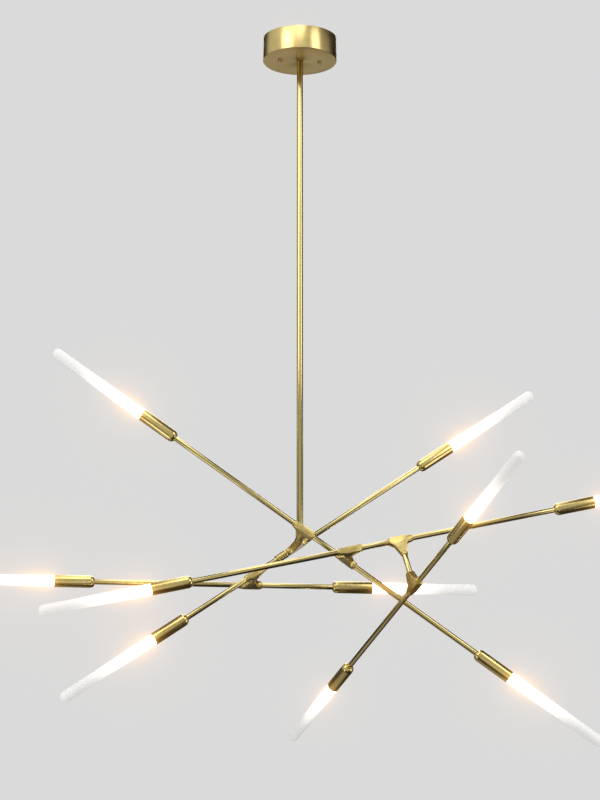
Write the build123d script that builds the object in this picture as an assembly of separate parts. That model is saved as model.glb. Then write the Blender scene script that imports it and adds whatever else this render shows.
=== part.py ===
from build123d import *
import math
import os

# Adjustable ceiling light with five crossing arms and ten frosted glass tubes.
# Millimetres, +Z up. The origin is the centre of the canopy's rim, in the ceiling plane.
# X runs along the front of the light from left to right, and Y points away from the front.

# ---- canopy ----
canopy_r = 65.0
canopy_height = 42.0
canopy_wall = 1.2
canopy_edge_r = 1.0
canopy_screw_spacing = 70.0
canopy_screw_turn = 8.3          # the screws' line is turned this far from X
canopy_screw_hole_r = 2.3

# ---- mounting hardware ----
strap_width = 18.0
strap_thickness = 2.0
ceiling_strap_length = 104.0
box_screw_spacing = 88.9         # screw spacing of a standard ceiling box
slot_width = 4.8
slot_length = 12.0
swivel_bar_length = 92.0
strap_screw_r = 2.5
strap_screw_head_r = 5.0
strap_screw_head = 2.4           # head height
screw_slot_width = 1.2
screw_slot_depth = 0.8
stud_r = 2.0
stud_tip_r = 1.5
stud_reach = 2.8                 # how far a stud stands out below the canopy
stud_nut_r = 4.0
stud_nut_height = 3.2
cap_nut_r = 3.2
cap_nut_height = 4.2
cap_nut_crown_r = 2.4
driver_length = 84.0
driver_width = 26.0
driver_height = 19.0
driver_corner_r = 3.0
driver_edge = 1.0
driver_notch_depth = 4.0
driver_notch_width = 8.0
driver_notch_height = 6.0
driver_offset = 36.0             # the driver's centre, behind the stem

# ---- stem ----
hub_drop = 905.0                 # ceiling plane to the centre of the hub
stem_r = 5.5
stem_bore_r = 4.0
stem_thread_r = 5.0
stem_thread_length = 12.0
locknut_across_flats = 16.0
locknut_height = 4.5
running_gap = 0.05               # radial clearance of every turning fit
face_gap = 0.3                   # axial clearance between pieces that turn on each other

# ---- hub and pivots ----
hub_span = 86.0                  # arm axis to arm axis through the hub
hub_r = 7.2
hub_edge = 1.0
hub_boss_r = 7.0
hub_boss_height = 15.0
hub_boss_edge_r = 0.8
spigot_r = 4.0
spigot_bore_r = 2.6
spigot_length = 13.0
spigot_chamfer = 0.8
spigot_groove_depth = 0.6
spigot_groove_width = 2.4
short_link = 64.0                # arm axis to arm axis at a short pivot
long_link = 89.0                 # arm axis to arm axis at the long pivot
pivot_flange_r = 6.2
pivot_chamfer = 0.6

# ---- tees ----
tee_half_length = 21.0
tee_collar_r = 6.3
tee_collar_length = 5.0
tee_barrel_end_r = 6.7
tee_barrel_middle_r = 8.6
tee_half_thickness = 5.7
tee_back = 5.9                   # arm axis to the flat on the tee's back
tee_neck = 28.0                  # arm axis to the end of the neck
tee_neck_half_width = 5.6
tee_neck_straight = 4.0
tee_gusset_top = 3.0             # above the arm axis, inside the barrel
tee_shoulder = 1.0               # where the gusset starts to narrow, below the arm axis
tee_gusset_chamfer = 1.2
tee_ferrule_r = 6.0
tee_ferrule_length = 2.0

# ---- arms ----
tube_r = 4.5
tube_bore_r = 3.4
tube_seat = 12.0                 # depth of a tube's end in a tee
long_reach = 266.0               # tee centre to the base of the cup
short_reach = 143.0
middle_reach = 86.0              # tee centre to tee centre on one arm

# Each arm's heading is its azimuth from X and its elevation, in degrees, as it lies in the light.
headings = {
    "arm1": (3.9, -35.6),
    "arm2": (13.7, 34.9),
    "arm3": (6.0, 12.6),
    "arm4": (9.4, 0.7),
    "arm5": (-65.7, 20.0),
}

# ---- ribbed lock collar beside the hub tee of arm2 ----
lock_collar_r = 7.0
lock_collar_groove = 0.9
lock_collar_groove_out = 0.2     # groove centres lie this far outside the collar
lock_collar_edge = 0.6
lock_collar_length = 20.0
lock_collar_ribs = 5

# ---- cups, light modules and glass ----
cup_r = 10.4
cup_bore_r = 9.55
cup_length = 69.0
cup_base_radius = 6.5
cup_base_wall = 9.0
cup_tube_seat = 7.0
glass_r = 9.4
glass_tip_flat_r = 0.6
glass_wall = 1.5
glass_length = 187.0             # visible beyond the cup's mouth
glass_seat = 16.0
module_length = 34.0
module_fins = 4
module_fin_depth = 1.8
module_fin_gap = 2.6
module_first_fin = 3.9           # from the module's base
module_board_r = 7.2
module_board_height = 1.6
module_lens_r = 4.0


def heading(azimuth, elevation):
    a, e = math.radians(azimuth), math.radians(elevation)
    return Vector(math.cos(e) * math.cos(a), math.cos(e) * math.sin(a), math.sin(e))


def common_normal(first, second, side):
    normal = first.cross(second).normalized()
    return normal if normal.dot(side) > 0 else normal * -1


# ---- where the arms and their pivots lie ----
away, toward, down = Vector(0, 1, 0), Vector(0, -1, 0), Vector(0, 0, -1)
along = {name: heading(*angles) for name, angles in headings.items()}
hub = Vector(0, 0, -hub_drop)
hub_axis = common_normal(along["arm1"], along["arm2"], away)
front_axis = common_normal(along["arm1"], along["arm3"], toward)
low_axis = common_normal(along["arm3"], along["arm5"], down)
rear_axis = common_normal(along["arm2"], along["arm4"], away)
arm1_hub = hub - hub_axis * (hub_span / 2)
arm1_outer = arm1_hub + along["arm1"] * middle_reach
arm2_hub = hub + hub_axis * (hub_span / 2)
arm2_outer = arm2_hub - along["arm2"] * middle_reach
arm3_inner = arm1_outer + front_axis * short_link
arm3_outer = arm3_inner + along["arm3"] * middle_reach
arm4_tee = arm2_outer + rear_axis * short_link
arm5_tee = arm3_outer + low_axis * long_link

parts = {}


# A solid turned about Z from half of its section, given as (radius, height) points.
def turned(points):
    return revolve(make_face(Plane.XZ * Polyline(*points, close=True)), Axis.Z)


# Puts a piece made along Z from its own origin at a point, pointing in a direction.
def aim(piece, point, direction):
    return Plane(origin=point, z_dir=direction) * piece


def disc(radius, height, z=0.0):
    return Pos(0, 0, z) * Cylinder(radius, height, align=(Align.CENTER, Align.CENTER, Align.MIN))


# ---- canopy and mounting hardware ----
def canopy_cover():
    body = disc(canopy_r, canopy_height, -canopy_height)
    body = fillet(body.edges().sort_by(Axis.Z)[0], canopy_edge_r)
    body -= disc(canopy_r - canopy_wall, canopy_height, canopy_wall - canopy_height)
    body -= disc(stem_thread_r + running_gap, 3 * canopy_wall, -canopy_height - canopy_wall)
    for x in (-canopy_screw_spacing / 2, canopy_screw_spacing / 2):
        hole = Pos(x, 0, 0) * disc(canopy_screw_hole_r, 3 * canopy_wall, -canopy_height - canopy_wall)
        body -= Rot(0, 0, canopy_screw_turn) * hole
    return body


def strap(length, holes, slot_spacing):
    plate = extrude(SlotOverall(length, strap_width), strap_thickness)
    for x, r in holes:
        plate -= Pos(x, 0, 0) * disc(r, strap_thickness)
    if slot_spacing:
        for x in (-slot_spacing / 2, slot_spacing / 2):
            plate -= Pos(x, 0, 0) * extrude(SlotOverall(slot_length, slot_width), strap_thickness)
    return plate


def ceiling_strap():
    plate = strap(ceiling_strap_length, [(0, strap_screw_r)], box_screw_spacing)
    return Pos(0, 0, -strap_thickness) * Rot(0, 0, 90) * plate


def swivel_bar():
    holes = [(0, strap_screw_r), (-canopy_screw_spacing / 2, stud_r), (canopy_screw_spacing / 2, stud_r)]
    plate = strap(swivel_bar_length, holes, 0)
    return Pos(0, 0, -2 * strap_thickness) * Rot(0, 0, canopy_screw_turn) * plate


def strap_screw():
    shank = disc(strap_screw_r, 2 * strap_thickness, -2 * strap_thickness)
    low = -2 * strap_thickness - strap_screw_head
    head = disc(strap_screw_head_r, strap_screw_head, low)
    slot = Pos(0, 0, low) * Box(2 * strap_screw_head_r, screw_slot_width, 2 * screw_slot_depth)
    return shank + head - slot


def at_canopy_screws(piece):
    spots = [Rot(0, 0, canopy_screw_turn) * Pos(x * canopy_screw_spacing / 2, 0, 0) for x in (-1, 1)]
    return [spot * piece for spot in spots]


def canopy_stud():
    low = -canopy_height - stud_reach
    stud = disc(stud_r, -strap_thickness - low, low)
    nut = extrude(RegularPolygon(stud_nut_r, 6), stud_nut_height)
    locknut = Pos(0, 0, -2 * strap_thickness - stud_nut_height) * nut
    return chamfer(stud.edges().sort_by(Axis.Z)[0], stud_r - stud_tip_r) + locknut


def cap_nut():
    nut = disc(cap_nut_r, cap_nut_height, -canopy_height - cap_nut_height)
    nut = fillet(nut.edges().sort_by(Axis.Z)[0], cap_nut_crown_r)
    return nut - disc(stud_r, stud_reach, -canopy_height - stud_reach)


def led_driver():
    case = Box(driver_length, driver_width, driver_height, align=(Align.CENTER, Align.CENTER, Align.MIN))
    case = fillet(case.edges().filter_by(Axis.Z), driver_corner_r)
    case = chamfer(case.faces().sort_by(Axis.Z)[-1].edges(), driver_edge)
    notch = Box(2 * driver_notch_depth, driver_notch_width, driver_notch_height)
    for x in (-driver_length / 2, driver_length / 2):
        case -= Pos(x, 0, driver_height / 2) * notch
    floor = canopy_wall - canopy_height
    return Pos(0, driver_offset, floor) * case


parts["canopy_cover"] = canopy_cover()
parts["ceiling_strap"] = ceiling_strap()
parts["swivel_bar"] = swivel_bar()
parts["strap_screw"] = strap_screw()
parts["canopy_studs"] = Compound(at_canopy_screws(canopy_stud()))
parts["canopy_cap_nuts"] = Compound(at_canopy_screws(cap_nut()))
parts["led_driver"] = led_driver()


# ---- stem ----
def stem_tube():
    top = -canopy_height - face_gap
    bottom = -hub_drop + hub_r
    tube = disc(stem_r, top - bottom, bottom)
    thread = disc(stem_thread_r, stem_thread_length, top)
    bore = disc(stem_bore_r, top - bottom + stem_thread_length, bottom)
    return tube + thread - bore


def stem_locknut():
    nut = extrude(RegularPolygon(locknut_across_flats / 2, 6, major_radius=False), locknut_height)
    nut -= disc(stem_thread_r, locknut_height)
    return Pos(0, 0, canopy_wall - canopy_height + face_gap) * nut


# A turning spigot along Z from height 0, with the groove that keeps it in its neck.
def spigot():
    r, g, end = spigot_r, spigot_r - spigot_groove_depth, spigot_length
    low = end - 2 * spigot_groove_width
    high = end - spigot_groove_width
    outline = [(0, 0), (r, 0), (r, low), (g, low), (g, high), (r, high), (r, end - spigot_chamfer)]
    return turned(outline + [(r - spigot_chamfer, end), (0, end)])


def hub_coupling():
    half = hub_span / 2 - tee_neck - face_gap
    barrel = disc(hub_r, 2 * half, -half)
    barrel = chamfer(barrel.edges().filter_by(GeomType.CIRCLE), hub_edge)
    axle = barrel + Pos(0, 0, half) * spigot() + Pos(0, 0, -half) * Rot(180, 0, 0) * spigot()
    reach = half + spigot_length
    boss = disc(hub_boss_r, hub_boss_height)
    boss = fillet(boss.edges().sort_by(Axis.Z)[-1], hub_boss_edge_r)
    body = aim(axle, hub, hub_axis) + Pos(hub) * boss
    body -= aim(disc(spigot_bore_r, 2 * reach, -reach), hub, hub_axis)
    body -= Pos(hub) * disc(stem_r, hub_boss_height, hub_r)
    return body - Pos(hub) * disc(stem_bore_r, hub_boss_height)


parts["stem_tube"] = stem_tube()
parts["stem_locknut"] = stem_locknut()
parts["hub_coupling"] = hub_coupling()


# ---- tees ----
# A cast tee with its sleeve along X and its neck along -Z: two collars, a barrel cut flat at
# the front, back and top, and a gusset that narrows to the neck.
def tee():
    end, inner = tee_half_length, tee_half_length - tee_collar_length
    outline = Polyline(
        (-end, 0),
        (-end, tee_collar_r),
        (-inner, tee_collar_r),
        (-inner, tee_barrel_end_r),
        (0, tee_barrel_middle_r),
        (inner, tee_barrel_end_r),
        (inner, tee_collar_r),
        (end, tee_collar_r),
        (end, 0),
        close=True,
    )
    barrel = revolve(make_face(Plane.XZ * outline), Axis.X)
    slab = Box(2 * end, 2 * tee_half_thickness, 2 * tee_barrel_middle_r)
    flats = Pos(0, 0, tee_back - tee_barrel_middle_r) * slab
    collars = Rot(0, 90, 0) * disc(tee_collar_r, 2 * end, -end)
    collars -= Box(2 * inner, 4 * tee_collar_r, 4 * tee_collar_r)
    neck_top = tee_neck_straight - tee_neck
    side = Polyline(
        (-inner, tee_gusset_top),
        (-inner, -tee_shoulder),
        (-tee_neck_half_width, neck_top),
        (-tee_neck_half_width, tee_ferrule_length - tee_neck),
        (tee_neck_half_width, tee_ferrule_length - tee_neck),
        (tee_neck_half_width, neck_top),
        (inner, -tee_shoulder),
        (inner, tee_gusset_top),
        close=True,
    )
    gusset = extrude(make_face(Plane.XZ * side), tee_half_thickness, both=True)
    side_edges = gusset.edges().filter_by(Axis.X, reverse=True).filter_by(Axis.Y, reverse=True)
    gusset = chamfer(side_edges.filter_by(lambda e: e.center().Z < -tee_shoulder), tee_gusset_chamfer)
    ferrule = disc(tee_ferrule_r, tee_ferrule_length, -tee_neck)
    body = (barrel & flats) + collars + gusset + ferrule
    body -= Rot(0, 90, 0) * disc(tube_r, 2 * end, -end)
    return body - disc(spigot_r + running_gap, tee_neck, -tee_neck)


def place_tee(arm, point, neck_direction):
    return Plane(origin=point, x_dir=along[arm], z_dir=neck_direction * -1) * tee()


parts["arm1_hub_tee"] = place_tee("arm1", arm1_hub, hub_axis)
parts["arm1_outer_tee"] = place_tee("arm1", arm1_outer, front_axis)
parts["arm2_hub_tee"] = place_tee("arm2", arm2_hub, hub_axis * -1)
parts["arm2_outer_tee"] = place_tee("arm2", arm2_outer, rear_axis)
parts["arm3_inner_tee"] = place_tee("arm3", arm3_inner, front_axis * -1)
parts["arm3_outer_tee"] = place_tee("arm3", arm3_outer, low_axis)
parts["arm4_tee"] = place_tee("arm4", arm4_tee, rear_axis * -1)
parts["arm5_tee"] = place_tee("arm5", arm5_tee, low_axis * -1)


# ---- pivots between the arms ----
# A nipple along Z whose middle is a flange or a rod. Its low end is fast in the carrying
# arm's neck and its high end turns in the carried arm's neck.
def pivot(link, middle_r):
    gap = link - 2 * tee_neck
    fast = disc(spigot_r + running_gap, spigot_length, -gap / 2 - spigot_length)
    middle = disc(middle_r, gap - face_gap, -gap / 2)
    middle = chamfer(middle.edges().filter_by(GeomType.CIRCLE), pivot_chamfer)
    body = fast + middle + Pos(0, 0, gap / 2 - face_gap) * spigot()
    return body - disc(spigot_bore_r, link, -link / 2)


def place_pivot(point, axis, link, middle_r):
    return aim(pivot(link, middle_r), point + axis * (link / 2), axis)


parts["arm3_pivot_nipple"] = place_pivot(arm1_outer, front_axis, short_link, pivot_flange_r)
parts["arm4_pivot_nipple"] = place_pivot(arm2_outer, rear_axis, short_link, pivot_flange_r)
parts["arm5_pivot_rod"] = place_pivot(arm3_outer, low_axis, long_link, tube_r)


# ---- tubes, cups, light modules and glass ----
def arm_tube(length):
    return disc(tube_r, length) - disc(tube_bore_r, length)


def end_tube(point, direction, reach):
    start = tee_half_length - tube_seat
    return aim(arm_tube(reach + cup_tube_seat - start), point + direction * start, direction)


def middle_tube(point, direction):
    start = tee_half_length - tube_seat
    return aim(arm_tube(middle_reach - 2 * start), point + direction * start, direction)


# A spun cup along Z with its base at height 0 and its mouth at cup_length.
def cup():
    body = disc(cup_r, cup_length)
    body = fillet(body.edges().sort_by(Axis.Z)[0], cup_base_radius)
    body -= disc(cup_bore_r, cup_length, cup_base_wall)
    body -= disc(tube_r, cup_tube_seat)
    return body - disc(tube_bore_r, cup_base_wall)


# A finned light module that fills the cup below the glass, with its board and lens on top.
def light_module():
    r, inner = cup_bore_r, cup_bore_r - module_fin_depth
    slug = disc(r, module_length, cup_base_wall)
    for fin in range(module_fins):
        low = cup_base_wall + module_first_fin + 2 * fin * module_fin_gap
        slug -= disc(r, module_fin_gap, low) - disc(inner, module_fin_gap, low)
    top = cup_base_wall + module_length
    lens = Pos(0, 0, top + module_board_height) * Sphere(module_lens_r)
    lens &= disc(module_lens_r, module_lens_r, top + module_board_height)
    return slug + disc(module_board_r, module_board_height, top) + lens


# A glass tube closed by a round end, from its seat in the cup to its tip.
def glass():
    low, high = cup_length - glass_seat, cup_length + glass_length
    body = disc(glass_r, high - low, low)
    body = fillet(body.edges().sort_by(Axis.Z)[-1], glass_r - glass_tip_flat_r)
    inner_r = glass_r - glass_wall
    hollow = disc(inner_r, high - low - glass_wall, low)
    return body - fillet(hollow.edges().sort_by(Axis.Z)[-1], inner_r - glass_tip_flat_r)


# The tees at the left and right of each arm, and the reach from them to the left and right cup.
arm_ends = {
    "arm1": (arm1_hub, arm1_outer, long_reach, long_reach),
    "arm2": (arm2_outer, arm2_hub, short_reach, long_reach),
    "arm3": (arm3_inner, arm3_outer, long_reach, long_reach),
    "arm4": (arm4_tee, arm4_tee, long_reach, short_reach),
    "arm5": (arm5_tee, arm5_tee, long_reach, short_reach),
}

for arm, (left_tee, right_tee, left_reach, right_reach) in arm_ends.items():
    modules = []
    ends = (("left", left_tee, along[arm] * -1, left_reach), ("right", right_tee, along[arm], right_reach))
    for side, point, direction, reach in ends:
        base = point + direction * reach
        parts[f"{arm}_{side}_tube"] = end_tube(point, direction, reach)
        parts[f"{arm}_{side}_cup"] = aim(cup(), base, direction)
        parts[f"{arm}_{side}_glass"] = aim(glass(), base, direction)
        modules.append(aim(light_module(), base, direction))
    parts[f"{arm}_light_modules"] = Compound(modules)
    if left_tee is not right_tee:
        parts[f"{arm}_middle_tube"] = middle_tube(left_tee, along[arm])


# ---- ribbed lock collar ----
# It grips arm2's middle tube against the left end of the hub tee.
def lock_collar():
    pitch = lock_collar_length / lock_collar_ribs
    body = disc(lock_collar_r, lock_collar_length)
    for rib in range(1, lock_collar_ribs):
        body -= Pos(0, 0, rib * pitch) * Torus(lock_collar_r + lock_collar_groove_out, lock_collar_groove)
    body = chamfer(body.edges().sort_by(Axis.Z)[0], lock_collar_edge)
    return body - disc(tube_r, lock_collar_length)


parts["arm2_lock_collar"] = aim(lock_collar(), arm2_hub - along["arm2"] * tee_half_length, along["arm2"] * -1)

os.makedirs("parts", exist_ok=True)
for name, shape in parts.items():
    export_step(shape, f"parts/{name}.step")
print(len(parts), "nodes")
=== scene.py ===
import bpy
import bmesh
import math
from mathutils import Matrix, Vector


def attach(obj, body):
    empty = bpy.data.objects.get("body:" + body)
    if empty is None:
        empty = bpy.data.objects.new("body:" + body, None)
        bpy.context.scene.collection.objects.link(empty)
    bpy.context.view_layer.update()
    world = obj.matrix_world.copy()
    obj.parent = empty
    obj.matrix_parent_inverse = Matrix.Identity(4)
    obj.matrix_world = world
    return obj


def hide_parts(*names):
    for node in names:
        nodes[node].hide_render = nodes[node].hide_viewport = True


# Adjustable ceiling light: brass canopy and stem, five crossing arms, ten frosted glass tubes.
# Pieces are made in millimetres round their own Z axis, then put in place in metres.

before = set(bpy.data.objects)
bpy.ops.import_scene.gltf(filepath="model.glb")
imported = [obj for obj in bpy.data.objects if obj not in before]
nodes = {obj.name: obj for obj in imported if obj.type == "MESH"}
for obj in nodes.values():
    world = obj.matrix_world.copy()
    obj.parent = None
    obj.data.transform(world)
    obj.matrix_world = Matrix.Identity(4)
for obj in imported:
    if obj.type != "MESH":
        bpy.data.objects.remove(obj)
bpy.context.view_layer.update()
print("frame loaded,", len(nodes), "nodes")

mm = 0.001  # one millimetre, in metres
touching = 1e-4  # points closer than this, in millimetres, are one point
noiseSpan = (0.3, 0.7)  # most values of a noise texture lie between these


def hexColor(code):
    # an sRGB hex value as a linear colour
    channels = [int(code[i:i + 2], 16) / 255 for i in (1, 3, 5)]
    linear = [c / 12.92 if c <= 0.04045 else ((c + 0.055) / 1.055) ** 2.4 for c in channels]
    return (*linear, 1.0)


def addNode(tree, kind, settings=None, inputs=None):
    # inputs holds a plain value or another node's output for each named or numbered socket
    node = tree.nodes.new(kind)
    for name, value in (settings or {}).items():
        setattr(node, name, value)
    for name, value in (inputs or {}).items():
        if isinstance(value, bpy.types.NodeSocket):
            tree.links.new(value, node.inputs[name])
        else:
            node.inputs[name].default_value = value
    return node


def newMaterial(name, values):
    # a material with its shader, and the plain values of the shader's sockets
    material = bpy.data.materials.new(name)
    material.use_nodes = True
    tree = material.node_tree
    tree.nodes.clear()
    shader = addNode(tree, "ShaderNodeBsdfPrincipled", inputs=values)
    addNode(tree, "ShaderNodeOutputMaterial", inputs={"Surface": shader.outputs[0]})
    return material, tree, shader


def shadeBy(tree, shader, finish, pattern, span=noiseSpan, roughPattern=None, roughSpan=None):
    # the colour goes from deep to light across the pattern's span, and the roughness from its
    # first value to its second, across a pattern of its own where one is given
    low, high = span
    share = addNode(tree, "ShaderNodeMapRange", inputs={
        "Value": pattern, "From Min": low, "From Max": high})
    # sockets 6 and 7 are the two colours that it mixes
    tint = addNode(tree, "ShaderNodeMix", {"data_type": "RGBA"}, {
        0: share.outputs[0], 6: hexColor(finish["deep"]), 7: hexColor(finish["light"])})
    tree.links.new(tint.outputs[2], shader.inputs["Base Color"])
    if "roughness" in finish:
        low, high = roughSpan or span
        atLow, atHigh = finish["roughness"]
        rough = addNode(tree, "ShaderNodeMapRange", inputs={
            "Value": roughPattern or pattern, "From Min": low, "From Max": high,
            "To Min": atLow, "To Max": atHigh})
        tree.links.new(rough.outputs[0], shader.inputs["Roughness"])


# Spun brass, satin brushed round its axis under a clear lacquer: fine rings run round the piece,
# so a highlight is crisp round it and smears along it. Real lines are about 0.1 mm apart, finer
# than the render shows, so they are drawn at lineMm. They change little round the piece, as
# aroundScale says. Broad faint clouds lie over them, and the two add up to sumSpan.
turnedBrass = {
    "light": "#E0CC8A", "deep": "#D4BF78", "roughness": (0.21, 0.245), "anisotropic": 0.4,
    "lineMm": 3.2, "lineSpan": (0.25, 0.75), "aroundScale": 0.03, "cloudMm": 30.0,
    "sumSpan": (0.65, 1.35),
}
# The canopy is brushed more coarsely, so its bands of light are broader and its lines show.
brushedBrass = {
    **turnedBrass, "light": "#EED993", "deep": "#DCC581", "roughness": (0.28, 0.36),
    "anisotropic": 0.5, "lineMm": 2.2, "cloudMm": 26.0,
}


def makeTurnedBrass(name, finish):
    material, tree, shader = newMaterial(name, {
        "Metallic": 1.0, "Anisotropic": finish["anisotropic"], "Anisotropic Rotation": 0.25,
        "Coat Weight": 0.08, "Coat Roughness": 0.2})
    place = addNode(tree, "ShaderNodeAttribute", {"attribute_name": "turned"})
    local = addNode(tree, "ShaderNodeSeparateXYZ", inputs={0: place.outputs["Vector"]})
    around = addNode(tree, "ShaderNodeUVMap", {"uv_map": "around"})
    unrolled = addNode(tree, "ShaderNodeSeparateXYZ", inputs={0: around.outputs[0]})
    slowX, slowY = (
        addNode(tree, "ShaderNodeMath", {"operation": "MULTIPLY"},
                {0: local.outputs[i], 1: finish["aroundScale"]}) for i in (0, 1))
    fast = addNode(tree, "ShaderNodeMath", {"operation": "MULTIPLY"},
                   {0: unrolled.outputs[1], 1: 1 / finish["lineMm"]})
    lineSpace = addNode(tree, "ShaderNodeCombineXYZ",
                        inputs={0: slowX.outputs[0], 1: slowY.outputs[0], 2: fast.outputs[0]})
    lines = addNode(tree, "ShaderNodeTexNoise", inputs={
        "Vector": lineSpace.outputs[0], "Scale": 1.0, "Detail": 1.5, "Roughness": 0.6})
    clouds = addNode(tree, "ShaderNodeTexNoise", inputs={
        "Vector": place.outputs["Vector"], "Scale": 1 / finish["cloudMm"], "Detail": 3.0})
    both = addNode(tree, "ShaderNodeMath", {"operation": "ADD"},
                   {0: lines.outputs[0], 1: clouds.outputs[0]})
    shadeBy(tree, shader, finish, both.outputs[0], finish["sumSpan"],
            lines.outputs[0], finish["lineSpan"])
    tangent = addNode(tree, "ShaderNodeTangent", {"direction_type": "UV_MAP", "uv_map": "around"})
    tree.links.new(tangent.outputs[0], shader.inputs["Tangent"])
    return material


# Drawn brass tube, brushed along its length and lacquered: long faint streaks run down the tube
# and its highlight stays a narrow clean line. Real streaks are a few tenths of a millimetre wide,
# and are drawn at streakMm to show.
drawnBrass = {"light": "#DCCB8B", "deep": "#CDBA79", "roughness": (0.14, 0.19),
              "streakMm": 2.2, "streakLengthMm": 90.0}


def makeDrawnBrass():
    material, tree, shader = newMaterial("satin brushed brass, drawn tube", {
        "Metallic": 1.0, "Coat Weight": 0.08, "Coat Roughness": 0.15})
    place = addNode(tree, "ShaderNodeAttribute", {"attribute_name": "turned"})
    across, lengthwise = 1 / drawnBrass["streakMm"], 1 / drawnBrass["streakLengthMm"]
    stretch = addNode(tree, "ShaderNodeMapping", inputs={
        "Vector": place.outputs["Vector"], "Scale": (across, across, lengthwise)})
    streaks = addNode(tree, "ShaderNodeTexNoise", inputs={
        "Vector": stretch.outputs[0], "Scale": 1.0, "Detail": 2.0, "Roughness": 0.55})
    shadeBy(tree, shader, drawnBrass, streaks.outputs[0])
    return material


# Cast brass, bead blasted and lacquered: a soft even sheen with a fine grain. The blasted grain
# is about 0.3 mm and is drawn at grainMm to show.
castBrass = {"light": "#ECD68C", "deep": "#CDB26A", "roughness": (0.27, 0.38),
             "grainMm": 1.6, "grainDepth": 0.06, "cloudMm": 12.0, "sumSpan": (0.7, 1.3)}


def makeCastBrass():
    material, tree, shader = newMaterial("bead blasted cast brass", {
        "Metallic": 1.0, "Coat Weight": 0.05, "Coat Roughness": 0.3})
    spot = addNode(tree, "ShaderNodeTexCoord")
    grain, clouds = (
        addNode(tree, "ShaderNodeTexNoise", inputs={
            "Vector": spot.outputs["Object"], "Scale": 1 / (size * mm), "Detail": detail})
        for size, detail in ((castBrass["grainMm"], 2.0), (castBrass["cloudMm"], 3.0)))
    both = addNode(tree, "ShaderNodeMath", {"operation": "ADD"},
                   {0: grain.outputs[0], 1: clouds.outputs[0]})
    shadeBy(tree, shader, castBrass, both.outputs[0], castBrass["sumSpan"],
            grain.outputs[0], noiseSpan)
    bump = addNode(tree, "ShaderNodeBump", inputs={
        "Strength": 0.35, "Distance": castBrass["grainDepth"] * mm, "Height": grain.outputs[0]})
    tree.links.new(bump.outputs[0], shader.inputs["Normal"])
    return material


# The canopy's underside: sheet brass brushed flat with fine straight lines, so it takes an even
# tan sheen. Real lines are about 0.1 mm apart and are drawn at lineMm.
flatBrass = {"light": "#DCC382", "deep": "#D2B873", "roughness": (0.36, 0.44),
             "lineMm": 1.8, "lineLengthMm": 60.0}


def makeFlatBrass():
    material, tree, shader = newMaterial("satin brushed brass, flat", {
        "Metallic": 1.0, "Coat Weight": 0.05, "Coat Roughness": 0.25})
    spot = addNode(tree, "ShaderNodeTexCoord")
    across, lengthwise = 1 / (flatBrass["lineMm"] * mm), 1 / (flatBrass["lineLengthMm"] * mm)
    stretch = addNode(tree, "ShaderNodeMapping", inputs={
        "Vector": spot.outputs["Object"], "Scale": (lengthwise, across, lengthwise)})
    lines = addNode(tree, "ShaderNodeTexNoise", inputs={
        "Vector": stretch.outputs[0], "Scale": 1.0, "Detail": 2.0, "Roughness": 0.6})
    shadeBy(tree, shader, flatBrass, lines.outputs[0])
    return material


# Sandblasted white glass, lit from its seat: the glow is strongest at the cup and fades to plain
# frosted glass between fullTo and goneAt, in millimetres from the cup's base, where the height in
# the attribute "turned" is zero. At the tube's sides, where it is seen through more glass, it
# loses sideLoss of itself. The blasted grain is far finer than a pixel, so it is drawn at grainMm
# and very faint.
frostedGlass = {
    "light": "#EBEBEA", "deep": "#E8E8E7", "roughness": (0.42, 0.46), "grainMm": 3.0,
    "glow": "#FFF2E4", "strength": 5.0, "fullTo": 90.0, "goneAt": 240.0, "fall": 3.4,
    "sideLoss": 0.85,
}


def makeFrostedGlass():
    material, tree, shader = newMaterial("sandblasted glass, lit from its seat", {
        "IOR": 1.5, "Specular IOR Level": 0.35, "Emission Color": hexColor(frostedGlass["glow"])})
    place = addNode(tree, "ShaderNodeAttribute", {"attribute_name": "turned"})
    local = addNode(tree, "ShaderNodeSeparateXYZ", inputs={0: place.outputs["Vector"]})
    fall = addNode(tree, "ShaderNodeMapRange", inputs={
        "Value": local.outputs[2], "From Min": frostedGlass["fullTo"],
        "From Max": frostedGlass["goneAt"], "To Min": 1.0, "To Max": 0.0})
    steep = addNode(tree, "ShaderNodeMath", {"operation": "POWER"},
                    {0: fall.outputs[0], 1: frostedGlass["fall"]})
    facing = addNode(tree, "ShaderNodeLayerWeight", inputs={"Blend": 0.5})
    square = addNode(tree, "ShaderNodeMath", {"operation": "POWER"},
                     {0: facing.outputs["Facing"], 1: 2.0})
    through = addNode(tree, "ShaderNodeMath", {"operation": "MULTIPLY_ADD"},
                      {0: square.outputs[0], 1: -frostedGlass["sideLoss"], 2: 1.0})
    seen = addNode(tree, "ShaderNodeMath", {"operation": "MULTIPLY"},
                   {0: steep.outputs[0], 1: through.outputs[0]})
    power = addNode(tree, "ShaderNodeMath", {"operation": "MULTIPLY"},
                    {0: seen.outputs[0], 1: frostedGlass["strength"]})
    tree.links.new(power.outputs[0], shader.inputs["Emission Strength"])
    grain = addNode(tree, "ShaderNodeTexNoise", inputs={
        "Vector": place.outputs["Vector"], "Scale": 1 / frostedGlass["grainMm"], "Detail": 2.0})
    shadeBy(tree, shader, frostedGlass, grain.outputs[0])
    # the glow is soft and weak next to the soft boxes, so it isn't sampled as a lamp
    material.cycles.emission_sampling = "NONE"
    return material


# Zinc plated steel with a clear passivate: cool grey with a fine spangle, whose cells are palest
# and smoothest in their middles.
zinc = {"light": "#C9CCCE", "deep": "#AEB2B5", "roughness": (0.42, 0.26), "spangleMm": 2.2,
        "cellSpan": (0.8, 0.0)}


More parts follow.
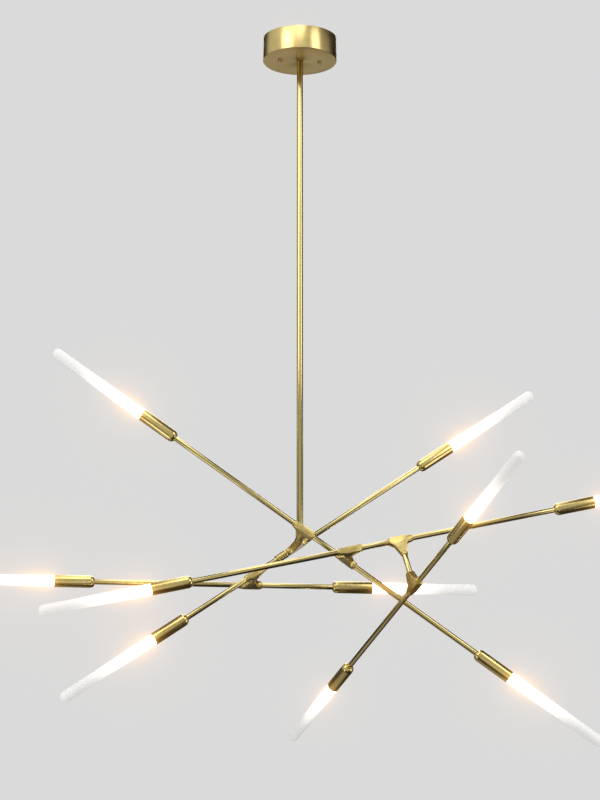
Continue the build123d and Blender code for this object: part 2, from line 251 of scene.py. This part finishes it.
def makeZinc():
    material, tree, shader = newMaterial("zinc plated steel, clear passivated", {"Metallic": 1.0})
    spot = addNode(tree, "ShaderNodeTexCoord")
    spangle = addNode(tree, "ShaderNodeTexVoronoi", inputs={
        "Vector": spot.outputs["Object"], "Scale": 1 / (zinc["spangleMm"] * mm)})
    shadeBy(tree, shader, zinc, spangle.outputs["Distance"], zinc["cellSpan"])
    return material


# Moulded polycarbonate with a fine spark-eroded texture: matte white with a soft grain.
driverCase = {"light": "#E8E8E4", "deep": "#DCDCD8", "grainMm": 0.6, "grainDepth": 0.03}


def makeDriverCase():
    material, tree, shader = newMaterial("moulded polycarbonate, spark-eroded", {
        "Roughness": 0.55, "IOR": 1.585})
    spot = addNode(tree, "ShaderNodeTexCoord")
    grain = addNode(tree, "ShaderNodeTexNoise", inputs={
        "Vector": spot.outputs["Object"], "Scale": 1 / (driverCase["grainMm"] * mm),
        "Detail": 4.0})
    shadeBy(tree, shader, driverCase, grain.outputs[0])
    bump = addNode(tree, "ShaderNodeBump", inputs={
        "Strength": 0.3, "Distance": driverCase["grainDepth"] * mm, "Height": grain.outputs[0]})
    tree.links.new(bump.outputs[0], shader.inputs["Normal"])
    return material


# Aluminium, turned and left bare: pale grey with a fine tool mark.
bareAluminium = {"light": "#DADCDD", "deep": "#C8CACC", "roughness": (0.25, 0.38), "markMm": 0.5}


def makeAluminium():
    material, tree, shader = newMaterial("bare turned aluminium", {"Metallic": 1.0})
    spot = addNode(tree, "ShaderNodeTexCoord")
    marks = addNode(tree, "ShaderNodeTexNoise", inputs={
        "Vector": spot.outputs["Object"], "Scale": 1 / (bareAluminium["markMm"] * mm),
        "Detail": 2.0})
    shadeBy(tree, shader, bareAluminium, marks.outputs[0])
    return material


turnedFinish = makeTurnedBrass("satin brushed brass, turned", turnedBrass)
canopyFinish = makeTurnedBrass("satin brushed brass, spun canopy", brushedBrass)
drawnFinish = makeDrawnBrass()
castFinish = makeCastBrass()
flatFinish = makeFlatBrass()
glassFinish = makeFrostedGlass()
zincFinish = makeZinc()
driverFinish = makeDriverCase()
aluminiumFinish = makeAluminium()
print("materials made")


# Where the arms lie, as in the part: drops, spans, links and reaches in millimetres, and each
# arm's heading as azimuth and elevation in degrees.
layout = {
    "hubDrop": 905.0, "hubSpan": 86.0, "shortLink": 64.0, "longLink": 89.0,
    "middleReach": 86.0, "longReach": 266.0, "shortReach": 143.0,
    "headings": {"arm1": (3.9, -35.6), "arm2": (13.7, 34.9), "arm3": (6.0, 12.6),
                 "arm4": (9.4, 0.7), "arm5": (-65.7, 20.0)},
}


def heading(azimuth, elevation):
    a, e = math.radians(azimuth), math.radians(elevation)
    return Vector((math.cos(e) * math.cos(a), math.cos(e) * math.sin(a), math.sin(e)))


def commonNormal(first, second, side):
    # the direction square to two arms, on the given side of them
    normal = first.cross(second).normalized()
    return normal if normal.dot(side) > 0 else -normal


away, toward, down = Vector((0, 1, 0)), Vector((0, -1, 0)), Vector((0, 0, -1))
along = {name: heading(*angles) for name, angles in layout["headings"].items()}
hub = Vector((0, 0, -layout["hubDrop"]))
hubAxis = commonNormal(along["arm1"], along["arm2"], away)
frontAxis = commonNormal(along["arm1"], along["arm3"], toward)
lowAxis = commonNormal(along["arm3"], along["arm5"], down)
rearAxis = commonNormal(along["arm2"], along["arm4"], away)
arm1Hub = hub - hubAxis * (layout["hubSpan"] / 2)
arm1Outer = arm1Hub + along["arm1"] * layout["middleReach"]
arm2Hub = hub + hubAxis * (layout["hubSpan"] / 2)
arm2Outer = arm2Hub - along["arm2"] * layout["middleReach"]
arm3Inner = arm1Outer + frontAxis * layout["shortLink"]
arm3Outer = arm3Inner + along["arm3"] * layout["middleReach"]
arm4Middle = arm2Outer + rearAxis * layout["shortLink"]
arm5Middle = arm3Outer + lowAxis * layout["longLink"]

upright = Matrix.Scale(mm, 4)  # for pieces made where they stand, round the stem's axis


def aim(point, direction, side=None):
    # a matrix that turns a piece's Z to a direction, puts it at a point and makes it metres
    z = direction.normalized()
    x = side.normalized() if side else z.orthogonal().normalized()
    turn = Matrix((x, z.cross(x), z)).transposed().to_4x4()
    return Matrix.Scale(mm, 4) @ Matrix.Translation(point) @ turn


def bevelEdges(bm, edges, size, segments):
    bmesh.ops.bevel(bm, geom=edges, offset=size, offset_type="OFFSET", segments=segments,
                    profile=0.5, affect="EDGES", material=-1, clamp_overlap=True)


def lathe(profile, steps):
    # turns an outline of (radius, height) points about Z; a point that goes on with a size and
    # a number of segments has its edge rounded so, and an outline off the axis closes on itself
    bm = bmesh.new()
    near = 10 * touching
    verts = [bm.verts.new((r, 0, z)) for r, z, *_ in profile]
    closed = profile[0][0] > 0 and profile[-1][0] > 0
    pairs = list(zip(verts, verts[1:])) + ([(verts[-1], verts[0])] if closed else [])
    edges = [bm.edges.new(pair) for pair in pairs]
    bmesh.ops.spin(bm, geom=verts + edges, cent=(0, 0, 0), axis=(0, 0, 1), angle=math.tau,
                   steps=steps, use_merge=True, use_duplicate=False)
    bmesh.ops.remove_doubles(bm, verts=bm.verts, dist=touching)
    bmesh.ops.recalc_face_normals(bm, faces=bm.faces)
    for r, z, *rounding in profile:
        if rounding:
            ring = [e for e in bm.edges if all(
                abs(math.hypot(v.co.x, v.co.y) - r) < near and abs(v.co.z - z) < near
                for v in e.verts)]
            bevelEdges(bm, ring, *rounding)
    return bm


def merge(target, source, matrix=None):
    # adds one bmesh to another
    if matrix:
        bmesh.ops.transform(source, matrix=matrix, verts=source.verts)
    loose = bpy.data.meshes.new("loose")
    source.to_mesh(loose)
    source.free()
    target.from_mesh(loose)
    bpy.data.meshes.remove(loose)


def unroll(bm):
    # a UV map that runs round the axis in turns, and along it or out from it in millimetres
    uv = bm.loops.layers.uv.new("around")
    for face in bm.faces:
        corners = face.loops[:]
        angles = [math.atan2(c.vert.co.y, c.vert.co.x) / math.tau for c in corners]
        crossesSeam = max(angles) - min(angles) > 0.5
        for corner, angle in zip(corners, angles):
            x, y, z = corner.vert.co
            reach = math.hypot(x, y)
            if reach < touching:
                # a point on the axis takes the middle angle of the rest of its face
                others = [a for a, c in zip(angles, corners) if c.vert != corner.vert]
                angle = sum(others) / len(others)
            if crossesSeam and angle < 0:
                angle += 1
            corner[uv].uv = (angle, z + reach)


def finishPiece(bm, name, node, body, finishes, matrix, sharp=35.0, flatOver=None):
    # keeps each point's own place in an attribute, puts the piece in place and lets it stand for
    # its node; faces over flatOver, in square millimetres, are shaded flat
    for face in bm.faces:
        face.smooth = flatOver is None or face.calc_area() < flatOver
    unroll(bm)
    mesh = bpy.data.meshes.new(name)
    bm.to_mesh(mesh)
    bm.free()
    turned = mesh.attributes.new("turned", "FLOAT_VECTOR", "POINT")
    turned.data.foreach_set("vector", [c for v in mesh.vertices for c in v.co])
    mesh.set_sharp_from_angle(angle=math.radians(sharp))
    mesh.transform(matrix)
    for finish in finishes:
        mesh.materials.append(finish)
    piece = bpy.data.objects.new(name, mesh)
    bpy.context.scene.collection.objects.link(piece)
    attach(piece, body)
    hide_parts(node)


# The canopy is a spun cup, open at the ceiling.
canopy = {"radius": 65.0, "height": 42.0, "wall": 1.2, "hole": 5.05,
          "edge": 1.0, "rimEdge": 0.25, "holeEdge": 0.2, "insideCorner": 0.8}


def makeCanopy():
    r, h, w, hole = canopy["radius"], canopy["height"], canopy["wall"], canopy["hole"]
    bm = lathe([(r, 0, canopy["rimEdge"], 2), (r, -h, canopy["edge"], 4),
                (hole, -h, canopy["holeEdge"], 2), (hole, w - h),
                (r - w, w - h, canopy["insideCorner"], 3), (r - w, 0, canopy["rimEdge"], 2)],
               steps=160)
    # the underside takes the second finish
    facingDown, nearBottom = -0.9, 0.1 - h
    for face in bm.faces:
        if face.normal.z < facingDown and face.calc_center_median().z < nearBottom:
            face.material_index = 1
    finishPiece(bm, "canopy", "canopy_cover", "canopy",
                [canopyFinish, flatFinish], upright)


# Two domed cap nuts on thin washers hold it up.
capNut = {"spacing": 70.0, "turn": 8.3, "radius": 3.4, "height": 4.2, "crown": 2.4,
          "washer": 3.9, "washerHeight": 0.7, "washerEdge": 0.2}


def makeCapNuts():
    bm = bmesh.new()
    r, wide, low = capNut["radius"], capNut["washer"], -canopy["height"]
    washerLow, nutLow = low - capNut["washerHeight"], low - capNut["height"]
    angle = math.radians(capNut["turn"])
    for side in (-1, 1):
        nut = lathe([(0, low), (wide, low), (wide, washerLow, capNut["washerEdge"], 2),
                     (r, washerLow), (r, nutLow, capNut["crown"], 5), (0, nutLow)], steps=32)
        reach = side * capNut["spacing"] / 2
        merge(bm, nut, Matrix.Translation((reach * math.cos(angle), reach * math.sin(angle), 0)))
    finishPiece(bm, "canopyCapNuts", "canopy_cap_nuts", "canopy",
                [turnedFinish], upright)


makeCanopy()
makeCapNuts()
print("canopy made")


# The stem is a drawn tube with a threaded top inside the canopy.
stem = {"radius": 5.5, "bore": 4.0, "top": -42.3, "bottom": -897.8, "edge": 0.3,
        "threadTop": -30.3, "threadRadius": 5.0, "threadRoot": 4.5, "pitch": 1.0}


def makeStem():
    r, bore, root, pitch = stem["radius"], stem["bore"], stem["threadRoot"], stem["pitch"]
    profile = [(bore, stem["bottom"]), (r, stem["bottom"], stem["edge"], 2),
               (r, stem["top"], stem["edge"], 2), (root, stem["top"])]
    z = stem["top"] + pitch / 2
    while z < stem["threadTop"] - pitch:
        profile += [(stem["threadRadius"], z + pitch / 2), (root, z + pitch)]
        z += pitch
    profile += [(root, stem["threadTop"]), (bore, stem["threadTop"])]
    finishPiece(lathe(profile, steps=48), "stem", "stem_tube", "stem",
                [drawnFinish], upright)


makeStem()
print("stem made")


# A cast tee has two flat sides, a flat back, one blunt end and one that tapers onto its tube, and
# a web that narrows to the neck. Thin rings close its ends, a ferrule its neck, and a set screw
# sits in each side of the neck.
tee = {
    "half": 21.0, "body": 18.5, "middle": 8.6, "thinEnd": 6.1, "bluntEnd": 7.7,
    "taperTop": (8.4, -5.0), "straight": (-2.0, 7.0), "flat": 5.6, "back": 5.9, "softEdge": 0.4,
    "neck": 28.0, "neckHalf": 5.6, "neckTop": -24.5,
    "ferrule": 5.9, "ferruleLength": 2.0, "ferruleLap": 0.3, "ferruleEdge": 0.4,
    "ferruleTopEdge": 0.3,
    "ring": 5.5, "ringGrowth": 0.25, "ringSeat": 0.5, "ringGap": 4.7, "ringGroove": 0.25,
    "ringEdge": 0.25,
}
web = {
    "half": 5.7, "inset": 0.3, "thinEnd": 1.9, "top": 5.6, "topFrom": -6.0, "topTo": 10.0,
    "bluntTop": 4.8, "bluntLow": -4.4, "bluntCorner": (11.8, -9.8), "thinCorner": (-9.7, -8.0),
    "chamfer": 2.2, "slopeBelow": -6.0, "slopeDrop": 3.0,
}
setScrew = {"radius": 1.5, "seat": 0.5, "proud": 0.15, "edge": 0.12, "socket": 0.75,
            "socketDepth": 0.3, "fromNeckEnd": 6.0}
neckEnd = tee["ferruleLength"] - tee["neck"]


def softenSharp(bm, size, angle):
    # rounds every edge where the faces meet at more than the angle, in degrees
    limit = math.radians(angle)
    sharp = [e for e in bm.edges if len(e.link_faces) == 2 and e.calc_face_angle(0) > limit]
    bevelEdges(bm, sharp, size, 2)


def cutFlat(bm, place, normal):
    # cuts off what lies beyond a plane and closes the cut
    cut = bmesh.ops.bisect_plane(bm, geom=bm.verts[:] + bm.edges[:] + bm.faces[:],
                                 dist=touching / 10, plane_co=place, plane_no=normal,
                                 clear_outer=True)
    edges = [g for g in cut["geom_cut"] if isinstance(g, bmesh.types.BMEdge)]
    bmesh.ops.holes_fill(bm, edges=edges, sides=0)


def teeSleeve():
    body, middle = tee["body"], tee["middle"]
    bm = lathe([(0, -body), (tee["thinEnd"], -body), tee["taperTop"],
                *((middle, z) for z in tee["straight"]), (tee["bluntEnd"], body), (0, body)],
               steps=48)
    quarter = Matrix.Rotation(math.pi / 2, 3, "Y")
    bmesh.ops.rotate(bm, cent=(0, 0, 0), matrix=quarter, verts=bm.verts)
    for side in (1, -1):
        cutFlat(bm, (0, side * tee["flat"], 0), (0, side, 0))
    cutFlat(bm, (0, 0, tee["back"]), (0, 0, 1))
    softenSharp(bm, tee["softEdge"], angle=20.0)
    return bm


def isSlope(edge):
    # one of the web's edges that run down to the neck, on either side
    first, second = (v.co for v in edge.verts)
    run = first - second
    return (abs(run.y) < touching and min(first.z, second.z) < web["slopeBelow"]
            and abs(run.z) > web["slopeDrop"])


def teeWeb():
    bm = bmesh.new()
    end, neck, half = tee["body"] - web["inset"], tee["neckHalf"], web["half"]
    outline = [
        (-end, web["thinEnd"]), (web["topFrom"], web["top"]), (web["topTo"], web["top"]),
        (end, web["bluntTop"]), (end, web["bluntLow"]), web["bluntCorner"],
        (neck, tee["neckTop"]), (neck, neckEnd), (-neck, neckEnd), (-neck, tee["neckTop"]),
        web["thinCorner"], (-end, -web["thinEnd"])]
    side = bm.faces.new([bm.verts.new((x, -half, z)) for x, z in outline])
    grown = bmesh.ops.extrude_face_region(bm, geom=[side])
    bmesh.ops.translate(bm, vec=(0, 2 * half, 0),
                        verts=[g for g in grown["geom"] if isinstance(g, bmesh.types.BMVert)])
    bmesh.ops.recalc_face_normals(bm, faces=bm.faces)
    bevelEdges(bm, [e for e in bm.edges if isSlope(e)], web["chamfer"], 1)
    softenSharp(bm, tee["softEdge"], angle=15.0)
    return bm


def teeRings(count):
    # each ring ends in a narrow groove
    gap, seat, groove = tee["ringGap"], tee["ringSeat"], tee["ringGroove"]
    body, half = tee["body"], tee["half"]
    wide = tee["ring"] + tee["ringGrowth"] * (count - 1)
    each = (half - body - seat) / count
    profile = [(0, body - seat), (gap, body - seat), (gap, body + seat)]
    for i in range(count):
        low = body + seat + i * each
        high = low + each - groove
        profile += [(wide, low, tee["ringEdge"], 2), (wide, high, tee["ringEdge"], 2), (gap, high)]
    return lathe(profile + [(gap, half), (0, half)], steps=48)


def teeFerrule():
    r, low, high = tee["ferrule"], -tee["neck"], neckEnd + tee["ferruleLap"]
    return lathe([(0, low), (r, low, tee["ferruleEdge"], 3),
                  (r, high, tee["ferruleTopEdge"], 2), (0, high)], steps=48)


def teeScrew():
    r, socket = setScrew["radius"], setScrew["socket"]
    seat, top = web["half"] - setScrew["seat"], web["half"] + setScrew["proud"]
    floor = web["half"] - setScrew["socketDepth"]
    return lathe([(0, seat), (r, seat), (r, top, setScrew["edge"], 2), (socket, top),
                  (socket, floor), (0, floor)], steps=24)


def teeShape():
    # the sleeve lies along X with its blunt end at +X, and the neck points along -Z
    bm = bmesh.new()
    merge(bm, teeSleeve())
    merge(bm, teeWeb())
    for end, rings in ((-1, 1), (1, 2)):
        merge(bm, teeRings(rings), Matrix.Rotation(end * math.pi / 2, 4, "Y"))
    merge(bm, teeFerrule())
    lift = Matrix.Translation((0, 0, neckEnd + setScrew["fromNeckEnd"]))
    for side in (-1, 1):
        merge(bm, teeScrew(), lift @ Matrix.Rotation(side * math.pi / 2, 4, "X"))
    return bm


def placeTee(name, node, arm, point, neckDirection, blunt):
    # blunt is 1 or -1: which way along the arm the blunt end points
    finishPiece(teeShape(), name, node, arm, [castFinish],
                aim(point, -neckDirection, along[arm] * blunt), sharp=30.0, flatOver=12.0)


placeTee("arm1HubTee", "arm1_hub_tee", "arm1", arm1Hub, hubAxis, 1)
placeTee("arm1OuterTee", "arm1_outer_tee", "arm1", arm1Outer, frontAxis, 1)
placeTee("arm2HubTee", "arm2_hub_tee", "arm2", arm2Hub, -hubAxis, -1)
placeTee("arm2OuterTee", "arm2_outer_tee", "arm2", arm2Outer, rearAxis, 1)
placeTee("arm3InnerTee", "arm3_inner_tee", "arm3", arm3Inner, -frontAxis, 1)
placeTee("arm3OuterTee", "arm3_outer_tee", "arm3", arm3Outer, lowAxis, -1)
placeTee("arm4Tee", "arm4_tee", "arm4", arm4Middle, -rearAxis, 1)
placeTee("arm5Tee", "arm5_tee", "arm5", arm5Middle, -lowAxis, 1)
print("tees made")


# Flanged nipples with two grooves and one long plain rod join the tees; each turns in the necks
# that it enters.
pivot = {"flange": 6.2, "rod": 4.5, "edge": 0.6, "gap": 0.3,
         "spigot": 4.0, "spigotLength": 12.0, "bore": 2.6,
         "grooves": (-1.2, 1.2), "grooveHalf": 0.5, "grooveDepth": 0.5, "grooveFloor": 0.2}


def makePivot(name, node, body, point, axis, link, middle, grooves, finish):
    half = link / 2 - tee["neck"]
    reach, top = half + pivot["spigotLength"], half - pivot["gap"]
    spigot, bore, root = pivot["spigot"], pivot["bore"], middle - pivot["grooveDepth"]
    wide, narrow = pivot["grooveHalf"], pivot["grooveFloor"]
    profile = [(bore, -reach), (spigot, -reach), (spigot, -half), (middle, -half, pivot["edge"], 3)]
    for z in grooves:
        profile += [(middle, z - wide), (root, z - narrow), (root, z + narrow), (middle, z + wide)]
    profile += [(middle, top, pivot["edge"], 3), (spigot, top), (spigot, reach), (bore, reach)]
    finishPiece(lathe(profile, steps=48), name, node, body, [finish],
                aim(point + axis * (link / 2), axis))


nipple = (layout["shortLink"], pivot["flange"], pivot["grooves"], turnedFinish)
rod = (layout["longLink"], pivot["rod"], (), drawnFinish)
makePivot("arm3Pivot", "arm3_pivot_nipple", "arm1", arm1Outer, frontAxis, *nipple)
makePivot("arm4Pivot", "arm4_pivot_nipple", "arm2", arm2Outer, rearAxis, *nipple)
makePivot("arm5PivotRod", "arm5_pivot_rod", "arm3", arm3Outer, lowAxis, *rod)


# A ribbed collar locks the second arm's tube in its hub tee.
lockCollar = {"radius": 7.0, "root": 5.9, "bore": 4.5, "length": 20.0, "ribs": 5,
              "grooveHalf": 0.9, "floorHalf": 0.45, "ribEdge": 0.35, "nearEdge": 0.4,
              "farEdge": 0.6}


def makeLockCollar():
    r, root, bore = lockCollar["radius"], lockCollar["root"], lockCollar["bore"]
    wide, narrow, edge = (lockCollar[key] for key in ("grooveHalf", "floorHalf", "ribEdge"))
    length, ribs = lockCollar["length"], lockCollar["ribs"]
    profile = [(bore, 0), (r, 0, lockCollar["nearEdge"], 2)]
    for rib in range(1, ribs):
        z = rib * length / ribs
        profile += [(r, z - wide, edge, 3), (root, z - narrow),
                    (root, z + narrow), (r, z + wide, edge, 3)]
    profile += [(r, length, lockCollar["farEdge"], 3), (bore, length)]
    finishPiece(lathe(profile, steps=48), "arm2LockCollar", "arm2_lock_collar", "arm2",
                [turnedFinish],
                aim(arm2Hub - along["arm2"] * tee["half"], -along["arm2"]))


makeLockCollar()
print("pivots and collar made")


# Each arm: drawn tubes, spun cups with domed bases, and glass tubes with rounded tips.
tube = {"radius": 4.5, "bore": 3.4, "edge": 0.3, "seat": 12.0, "cupSeat": 7.0}
cup = {"radius": 10.4, "bore": 9.55, "length": 69.0, "rimEdge": 0.3, "boreEdge": 0.2,
       "baseHeight": 8.5, "baseSteps": 12, "baseWall": 9.0}
glass = {"radius": 9.4, "wall": 1.5, "length": 187.0, "seat": 16.0, "tipFlat": 0.3}


def makeTube(name, node, body, point, direction, length):
    r, bore, edge = tube["radius"], tube["bore"], tube["edge"]
    bm = lathe([(bore, 0), (r, 0, edge, 2), (r, length, edge, 2), (bore, length)], steps=40)
    finishPiece(bm, name, node, body, [drawnFinish], aim(point, direction))


def makeCup(name, node, body, point, direction):
    r, bore, t, length = cup["radius"], cup["bore"], tube["radius"], cup["length"]
    # the base is a quarter of an ellipse that rises off the tube
    turns = [math.pi / 2 * i / cup["baseSteps"] for i in range(cup["baseSteps"] + 1)]
    base = [(t + (r - t) * math.sin(a), cup["baseHeight"] * (1 - math.cos(a))) for a in turns]
    bm = lathe(base + [(r, length, cup["rimEdge"], 3), (bore, length, cup["boreEdge"], 2),
                       (bore, cup["baseWall"]), (t, cup["baseWall"])], steps=64)
    finishPiece(bm, name, node, body, [turnedFinish], aim(point, direction))


def makeGlass(name, node, body, base, direction):
    low, high = cup["length"] - glass["seat"], cup["length"] + glass["length"]
    r, inside = glass["radius"], glass["radius"] - glass["wall"]
    bm = lathe([(inside, low), (r, low), (r, high, r - glass["tipFlat"], 10), (0, high)], steps=48)
    finishPiece(bm, name, node, body, [glassFinish], aim(base, direction),
                sharp=60.0)


start = tee["half"] - tube["seat"]  # the tubes start inside their tees
longReach, shortReach = layout["longReach"], layout["shortReach"]
armEnds = {
    # arm: (left tee, right tee, left reach, right reach)
    "arm1": (arm1Hub, arm1Outer, longReach, longReach),
    "arm2": (arm2Outer, arm2Hub, shortReach, longReach),
    "arm3": (arm3Inner, arm3Outer, longReach, longReach),
    "arm4": (arm4Middle, arm4Middle, longReach, shortReach),
    "arm5": (arm5Middle, arm5Middle, longReach, shortReach),
}
for arm, (leftTee, rightTee, leftReach, rightReach) in armEnds.items():
    for side, point, direction, reach in (("Left", leftTee, -along[arm], leftReach),
                                          ("Right", rightTee, along[arm], rightReach)):
        node = f"{arm}_{side.lower()}_"
        base = point + direction * reach
        makeTube(arm + side + "Tube", node + "tube", arm, point + direction * start, direction,
                 reach + tube["cupSeat"] - start)
        makeCup(arm + side + "Cup", node + "cup", arm, base, direction)
        makeGlass(arm + side + "Glass", node + "glass", arm, base, direction)
    if leftTee is not rightTee:
        makeTube(arm + "MiddleTube", arm + "_middle_tube", arm, leftTee + along[arm] * start,
                 along[arm], layout["middleReach"] - 2 * start)
print("arms made")


# Nodes that keep their own shape get their real finish.
kept = {
    "hub_coupling": castFinish, "ceiling_strap": zincFinish, "swivel_bar": zincFinish,
    "strap_screw": zincFinish, "canopy_studs": zincFinish, "stem_locknut": zincFinish,
    "led_driver": driverFinish,
    **{f"arm{i}_light_modules": aluminiumFinish for i in range(1, 6)},
}
for name, finish in kept.items():
    finishes = nodes[name].data.materials
    finishes.clear()
    finishes.append(finish)


# A pale floor far below the hanging light, as bright as the backdrop; the brass doesn't mirror it.
stage = {"floor": -6.0, "floorSize": 60.0, "floorColor": "#E4E4E4", "floorGlow": 0.27,
         "backdrop": "#DADADA"}
white = hexColor("#FFFFFF")


def makeFloor():
    bm = bmesh.new()
    bmesh.ops.create_grid(bm, x_segments=4, y_segments=4, size=stage["floorSize"] / 2)
    bmesh.ops.translate(bm, verts=bm.verts, vec=(0, 0, stage["floor"]))
    mesh = bpy.data.meshes.new("floor")
    bm.to_mesh(mesh)
    bm.free()
    material, _, _ = newMaterial("matte pale floor", {
        "Base Color": hexColor(stage["floorColor"]), "Roughness": 0.9,
        "Emission Color": white, "Emission Strength": stage["floorGlow"]})
    material.cycles.emission_sampling = "NONE"
    mesh.materials.append(material)
    floor = bpy.data.objects.new("floor", mesh)
    floor.visible_glossy = False
    bpy.context.scene.collection.objects.link(floor)


# Soft boxes, in metres. Each one hangs at its place and faces the point it is aimed at;
# brightness is how strongly the brass mirrors it.
studio = {
    # name: (place, aimed at, width, height, brightness)
    "leftKey": ((-1.75, -2.15, 0.85), (0.0, 0.0, -0.75), 1.55, 2.2, 2.8),
    "rightKey": ((2.16, -1.82, 0.75), (0.0, 0.0, -0.75), 1.1, 2.2, 2.8),
    "overhead": ((-0.1, -0.1, 1.55), (-0.1, -0.1, 0.0), 1.2, 6.2, 1.6),
    "frontHigh": ((0.8, -6.1, 6.4), (0.0, 0.0, -0.9), 3.2, 2.0, 1.4),
    "leftLow": ((-1.2, -0.55, -1.75), (0.0, 0.0, -0.95), 0.8, 0.8, 1.7),
    "rightLow": ((1.4, -0.25, -1.3), (0.3, 0.0, -0.8), 0.8, 0.8, 1.6),
    "rearLow": ((0.0, 2.0, -0.9), (0.0, 0.0, -0.3), 2.0, 0.6, 0.75),
    "rearKey": ((0.0, 3.0, 0.85), (0.0, 0.0, -0.75), 1.8, 1.8, 2.0),
}


def makeLights():
    for name, (place, target, width, height, brightness) in studio.items():
        toLight = (Vector(place) - Vector(target)).normalized()
        data = bpy.data.lights.new(name, "AREA")
        data.shape = "RECTANGLE"
        data.size, data.size_y = width, height
        data.energy = brightness * math.pi * width * height  # power for that brightness
        lamp = bpy.data.objects.new(name, data)
        lamp.location = place
        lamp.rotation_mode = "QUATERNION"
        lamp.rotation_quaternion = toLight.to_track_quat("Z", "Y")
        lamp.visible_camera = False
        lamp.visible_transmission = False
        bpy.context.scene.collection.objects.link(lamp)


# What the brass mirrors of the room between the boxes: soft patches on near-black. Angles are in
# degrees, and azimuth 0 is straight in front of the light.
room = {
    "base": 0.02,
    # name: (azimuth, elevation, full inside this angle, gone outside this angle, brightness)
    "patches": {
        "leftWall": (-85.0, 28.0, 20.0, 44.0, 0.6),
        "frontWall": (0.0, 10.0, 20.0, 60.0, 0.5),
        "leftFloor": (-135.0, -45.0, 10.0, 40.0, 0.3),
        "rightWall": (82.0, 12.0, 4.0, 34.0, 0.35),
        "frontFloor": (0.0, -36.0, 8.0, 24.0, 0.42),
    },
    "fill": 0.55,
}


def makeWorld():
    # pale where it is seen directly, softer where it fills, and the room where the brass mirrors it
    world = bpy.data.worlds.new("studio")
    bpy.context.scene.world = world
    world.cycles.sampling_method = "NONE"  # it is even, so it needs no sampling of its own
    world.use_nodes = True
    tree = world.node_tree
    tree.nodes.clear()
    spot = addNode(tree, "ShaderNodeTexCoord")
    total = room["base"]
    for azimuth, elevation, inner, outer, brightness in room["patches"].values():
        a, e = math.radians(azimuth), math.radians(elevation)
        centre = (math.sin(a) * math.cos(e), -math.cos(a) * math.cos(e), math.sin(e))
        near = addNode(tree, "ShaderNodeVectorMath", {"operation": "DOT_PRODUCT"},
                       {0: spot.outputs["Generated"], 1: centre})
        patch = addNode(tree, "ShaderNodeMapRange", {"interpolation_type": "SMOOTHSTEP"}, {
            "Value": near.outputs["Value"], "From Min": math.cos(math.radians(outer)),
            "From Max": math.cos(math.radians(inner)), "To Min": 0.0, "To Max": brightness})
        total = addNode(tree, "ShaderNodeMath", {"operation": "ADD"},
                        {0: total, 1: patch.outputs[0]}).outputs[0]
    paths = addNode(tree, "ShaderNodeLightPath")
    pale, soft, mirrored = (
        addNode(tree, "ShaderNodeBackground", inputs={"Color": color, "Strength": strength})
        for color, strength in ((hexColor(stage["backdrop"]), 1.0), (white, room["fill"]),
                                (white, total)))
    lit = addNode(tree, "ShaderNodeMixShader", inputs={
        0: paths.outputs["Is Diffuse Ray"], 1: pale.outputs[0], 2: soft.outputs[0]})
    mix = addNode(tree, "ShaderNodeMixShader", inputs={
        0: paths.outputs["Is Glossy Ray"], 1: lit.outputs[0], 2: mirrored.outputs[0]})
    addNode(tree, "ShaderNodeOutputWorld", inputs={"Surface": mix.outputs[0]})


# Places in metres, the upward pitch in degrees, the lens and its sensor in millimetres.
view = {"distance": 4.8336, "height": -2.0079, "aside": 0.0002, "pitch": 15.557,
        "lens": 132.2, "sensor": 36.0, "farthest": 200.0}


def makeCamera():
    data = bpy.data.cameras.new("camera")
    data.lens = view["lens"]
    data.sensor_width = view["sensor"]
    data.clip_end = view["farthest"]
    camera = bpy.data.objects.new("camera", data)
    camera.location = (view["aside"], -view["distance"], view["height"])
    camera.rotation_euler = (math.radians(90 + view["pitch"]), 0, 0)
    bpy.context.scene.collection.objects.link(camera)
    bpy.context.scene.camera = camera


# The warm halo round the lit glass.
bloom = {"threshold": 1.1, "strength": 0.95, "size": 0.3, "tint": "#FFBE50", "most": 6.0}


def makeBloom():
    scene = bpy.context.scene
    scene.use_nodes = True
    tree = scene.node_tree
    tree.nodes.clear()
    layers = addNode(tree, "CompositorNodeRLayers")
    glare = addNode(tree, "CompositorNodeGlare", {"glare_type": "BLOOM", "quality": "HIGH"}, {
        "Image": layers.outputs["Image"], "Threshold": bloom["threshold"], "Clamp": True,
        "Maximum": bloom["most"], "Strength": bloom["strength"], "Size": bloom["size"],
        "Tint": hexColor(bloom["tint"])})
    addNode(tree, "CompositorNodeComposite", inputs={"Image": glare.outputs["Image"]})


makeFloor()
makeLights()
makeWorld()
makeCamera()
makeBloom()
bpy.context.scene.view_settings.view_transform = "Standard"
print("studio made")
